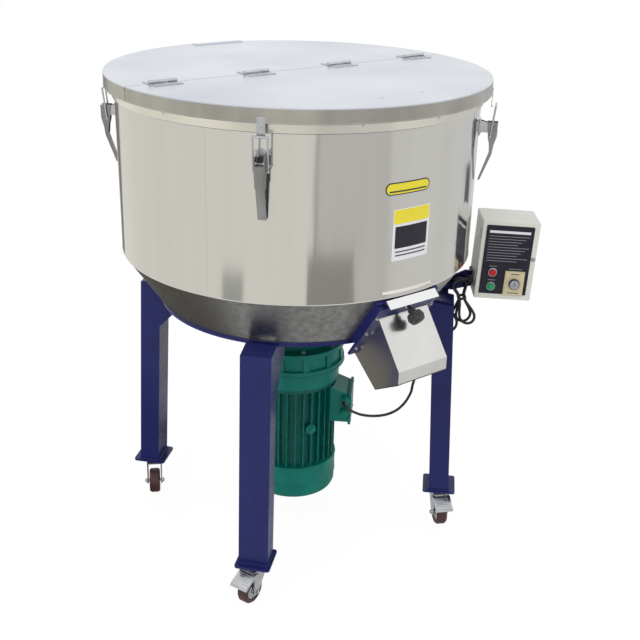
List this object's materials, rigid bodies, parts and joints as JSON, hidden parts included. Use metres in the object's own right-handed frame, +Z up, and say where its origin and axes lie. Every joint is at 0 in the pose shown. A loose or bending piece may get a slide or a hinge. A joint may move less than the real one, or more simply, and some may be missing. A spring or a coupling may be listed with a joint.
{
  "type": "vertical powder mixer",
  "caption": "Covered steel tub with a conical bottom on wheeled legs, a geared motor beneath, a gated discharge chute and a control box at the side.",
  "frame": {"origin": "on the floor under the tub's axis", "axes": "+Z up along the tub axis, the discharge chute towards -Y, the control box towards +X and -Y"},
  "size_m": [1.0656, 1.0369, 1.347],
  "materials": {
    "polished_steel": "polished stainless sheet",
    "matt_steel": "matt stainless sheet",
    "zinc_steel": "bright zinc plate",
    "wheel_rubber": "dark maroon polyurethane",
    "frame_paint": "glossy navy paint",
    "motor_paint": "satin teal paint",
    "gate_steel": "polished stainless plate",
    "black_plastic": "moulded black plastic",
    "box_paint": "off-white powder coat",
    "panel_print": "dark printed film",
    "timer_plastic": "cream plastic",
    "dial_plastic": "dark grey plastic",
    "red_plastic": "red plastic",
    "green_plastic": "green plastic",
    "cord_rubber": "black rubber sheath"
  },
  "bodies": {
    "machine": {"barrel_wall": "polished_steel", "barrel_cone": "matt_steel", "barrel_floor": "matt_steel", "rim_hoop": "polished_steel", "agitator": "matt_steel", "lid_rear": "polished_steel", "lid_hinges_rear": "zinc_steel", "strikes_rear": "polished_steel", "rear_lid_tab": "polished_steel", "latch_brackets": "zinc_steel", "base_plate": "frame_paint", "leg_front_left": "frame_paint", "leg_front_right": "frame_paint", "leg_rear_right": "frame_paint", "leg_rear_left": "frame_paint", "gearbox": "motor_paint", "motor_body": "motor_paint", "fan_cover": "motor_paint", "terminal_box": "motor_paint", "outlet_frame": "frame_paint", "discharge_chute": "polished_steel", "control_box": "box_paint", "control_box_arm": "frame_paint", "motor_cable": "cord_rubber", "supply_cable": "cord_rubber", "supply_hank": "cord_rubber"},
    "front_lid": {"lid_front": "polished_steel", "lid_hinges_front": "zinc_steel", "strikes_front": "polished_steel"},
    "gate": {"gate_plate": "gate_steel"},
    "star_knob": {"star_knob": "black_plastic"},
    "box_door": {"control_box_door": "box_paint", "control_panel": "panel_print", "timer_body": "timer_plastic"},
    "timer_dial": {"timer_dial": "dial_plastic"},
    "stop_button": {"stop_button": "red_plastic"},
    "start_button": {"start_button": "green_plastic"},
    "latch_lever_front_left": {"latch_lever_front_left": "zinc_steel"},
    "latch_bail_front_left": {"latch_bail_front_left": "zinc_steel"},
    "latch_lever_front_right": {"latch_lever_front_right": "zinc_steel"},
    "latch_bail_front_right": {"latch_bail_front_right": "zinc_steel"},
    "latch_lever_rear_right": {"latch_lever_rear_right": "zinc_steel"},
    "latch_bail_rear_right": {"latch_bail_rear_right": "zinc_steel"},
    "latch_lever_rear_left": {"latch_lever_rear_left": "zinc_steel"},
    "latch_bail_rear_left": {"latch_bail_rear_left": "zinc_steel"},
    "caster_fork_front_left": {"caster_fork_front_left": "zinc_steel"},
    "caster_wheel_front_left": {"caster_wheel_front_left": "wheel_rubber"},
    "brake_pedal_front_left": {"brake_pedal_front_left": "zinc_steel"},
    "caster_fork_front_right": {"caster_fork_front_right": "zinc_steel"},
    "caster_wheel_front_right": {"caster_wheel_front_right": "wheel_rubber"},
    "brake_pedal_front_right": {"brake_pedal_front_right": "zinc_steel"},
    "caster_fork_rear_right": {"caster_fork_rear_right": "zinc_steel"},
    "caster_wheel_rear_right": {"caster_wheel_rear_right": "wheel_rubber"},
    "caster_fork_rear_left": {"caster_fork_rear_left": "zinc_steel"},
    "caster_wheel_rear_left": {"caster_wheel_rear_left": "wheel_rubber"}
  },
  "joints": [
    {"name": "front_lid_fold", "type": "hinge", "parent": "machine", "child": "front_lid", "pos_m": [0, 0, 1.3425], "axis": [-1, 0, 0], "range_deg": [0, 175]},
    {"name": "latch_lever_front_left_turn", "type": "hinge", "parent": "machine", "child": "latch_lever_front_left", "pos_m": [-0.3659, -0.35957, 1.217], "axis": [-0.7009, 0.7133, 0], "range_deg": [0, 120]},
    {"name": "latch_bail_front_left_turn", "type": "hinge", "parent": "latch_lever_front_left", "child": "latch_bail_front_left", "pos_m": [-0.36019, -0.35396, 1.197], "axis": [-0.7009, 0.7133, 0], "range_deg": [-138, 0]},
    {"name": "latch_lever_front_right_turn", "type": "hinge", "parent": "machine", "child": "latch_lever_front_right", "pos_m": [0.34658, -0.37822, 1.217], "axis": [-0.7373, -0.6756, 0], "range_deg": [0, 120]},
    {"name": "latch_bail_front_right_turn", "type": "hinge", "parent": "latch_lever_front_right", "child": "latch_bail_front_right", "pos_m": [0.34117, -0.37233, 1.197], "axis": [-0.7373, -0.6756, 0], "range_deg": [-138, 0]},
    {"name": "latch_lever_rear_right_turn", "type": "hinge", "parent": "machine", "child": "latch_lever_rear_right", "pos_m": [0.37822, 0.34658, 1.217], "axis": [0.6756, -0.7373, 0], "range_deg": [0, 120]},
    {"name": "latch_bail_rear_right_turn", "type": "hinge", "parent": "latch_lever_rear_right", "child": "latch_bail_rear_right", "pos_m": [0.37233, 0.34117, 1.197], "axis": [0.6756, -0.7373, 0], "range_deg": [-138, 0]},
    {"name": "latch_lever_rear_left_turn", "type": "hinge", "parent": "machine", "child": "latch_lever_rear_left", "pos_m": [-0.40148, 0.31935, 1.217], "axis": [0.6225, 0.7826, 0], "range_deg": [0, 120]},
    {"name": "latch_bail_rear_left_turn", "type": "hinge", "parent": "latch_lever_rear_left", "child": "latch_bail_rear_left", "pos_m": [-0.39522, 0.31437, 1.197], "axis": [0.6225, 0.7826, 0], "range_deg": [-138, 0]},
    {"name": "gate_slide", "type": "slide", "parent": "machine", "child": "gate", "axis": [0, -0.5665, 0.824], "range_m": [0, 0.1]},
    {"name": "star_knob_turn", "type": "hinge", "parent": "machine", "child": "star_knob", "pos_m": [0, -0.45712, 0.844], "axis": [0, -0.824, -0.5665], "continuous": true},
    {"name": "box_door_swing", "type": "hinge", "parent": "machine", "child": "box_door", "pos_m": [0.37687, -0.3366, 0.84398], "axis": [-0.0303, 0.0236, -0.9993], "range_deg": [0, 90]},
    {"name": "timer_dial_turn", "type": "hinge", "parent": "box_door", "child": "timer_dial", "pos_m": [0.44662, -0.4115, 0.77805], "axis": [-0.6143, -0.7891, 0], "range_deg": [0, 300]},
    {"name": "stop_button_press", "type": "slide", "parent": "box_door", "child": "stop_button", "axis": [0.6143, 0.7891, 0], "range_m": [0, 0.004], "stiffness_N_per_m": 200},
    {"name": "start_button_press", "type": "slide", "parent": "box_door", "child": "start_button", "axis": [0.6143, 0.7891, 0], "range_m": [0, 0.004], "stiffness_N_per_m": 200},
    {"name": "caster_swivel_front_left", "type": "hinge", "parent": "machine", "child": "caster_fork_front_left", "pos_m": [-0.33553, -0.29685, 0.114], "axis": [0, 0, 1], "continuous": true},
    {"name": "caster_wheel_front_left_roll", "type": "hinge", "parent": "caster_fork_front_left", "child": "caster_wheel_front_left", "pos_m": [-0.36184, -0.30643, 0.0375], "axis": [0.342, -0.9397, 0], "continuous": true},
    {"name": "brake_pedal_front_left_turn", "type": "hinge", "parent": "caster_fork_front_left", "child": "brake_pedal_front_left", "pos_m": [-0.35996, -0.30575, 0.088], "axis": [-0.342, 0.9397, 0], "range_deg": [0, 18]},
    {"name": "caster_swivel_front_right", "type": "hinge", "parent": "machine", "child": "caster_fork_front_right", "pos_m": [0.32226, -0.31121, 0.114], "axis": [0, 0, 1], "continuous": true},
    {"name": "caster_wheel_front_right_roll", "type": "hinge", "parent": "caster_fork_front_right", "child": "caster_wheel_front_right", "pos_m": [0.30912, -0.33593, 0.0375], "axis": [0.8829, -0.4695, 0], "continuous": true},
    {"name": "brake_pedal_front_right_turn", "type": "hinge", "parent": "caster_fork_front_right", "child": "brake_pedal_front_right", "pos_m": [0.31006, -0.33416, 0.088], "axis": [-0.8829, 0.4695, 0], "range_deg": [0, 18]},
    {"name": "caster_swivel_rear_right", "type": "hinge", "parent": "machine", "child": "caster_fork_rear_right", "pos_m": [0.33553, 0.29685, 0.114], "axis": [0, 0, 1], "continuous": true},
    {"name": "caster_wheel_rear_right_roll", "type": "hinge", "parent": "caster_fork_rear_right", "child": "caster_wheel_rear_right", "pos_m": [0.32153, 0.2726, 0.0375], "axis": [0.866, -0.5, 0], "continuous": true},
    {"name": "caster_swivel_rear_left", "type": "hinge", "parent": "machine", "child": "caster_fork_rear_left", "pos_m": [-0.29685, 0.33553, 0.114], "axis": [0, 0, 1], "continuous": true},
    {"name": "caster_wheel_rear_left_roll", "type": "hinge", "parent": "caster_fork_rear_left", "child": "caster_wheel_rear_left", "pos_m": [-0.31085, 0.31128, 0.0375], "axis": [0.866, -0.5, 0], "continuous": true}
  ],
  "couplings": [
    {"joint": "latch_bail_front_left_turn", "follows": "latch_lever_front_left_turn", "ratio": -1.15},
    {"joint": "latch_bail_front_right_turn", "follows": "latch_lever_front_right_turn", "ratio": -1.15},
    {"joint": "latch_bail_rear_right_turn", "follows": "latch_lever_rear_right_turn", "ratio": -1.15},
    {"joint": "latch_bail_rear_left_turn", "follows": "latch_lever_rear_left_turn", "ratio": -1.15}
  ]
}
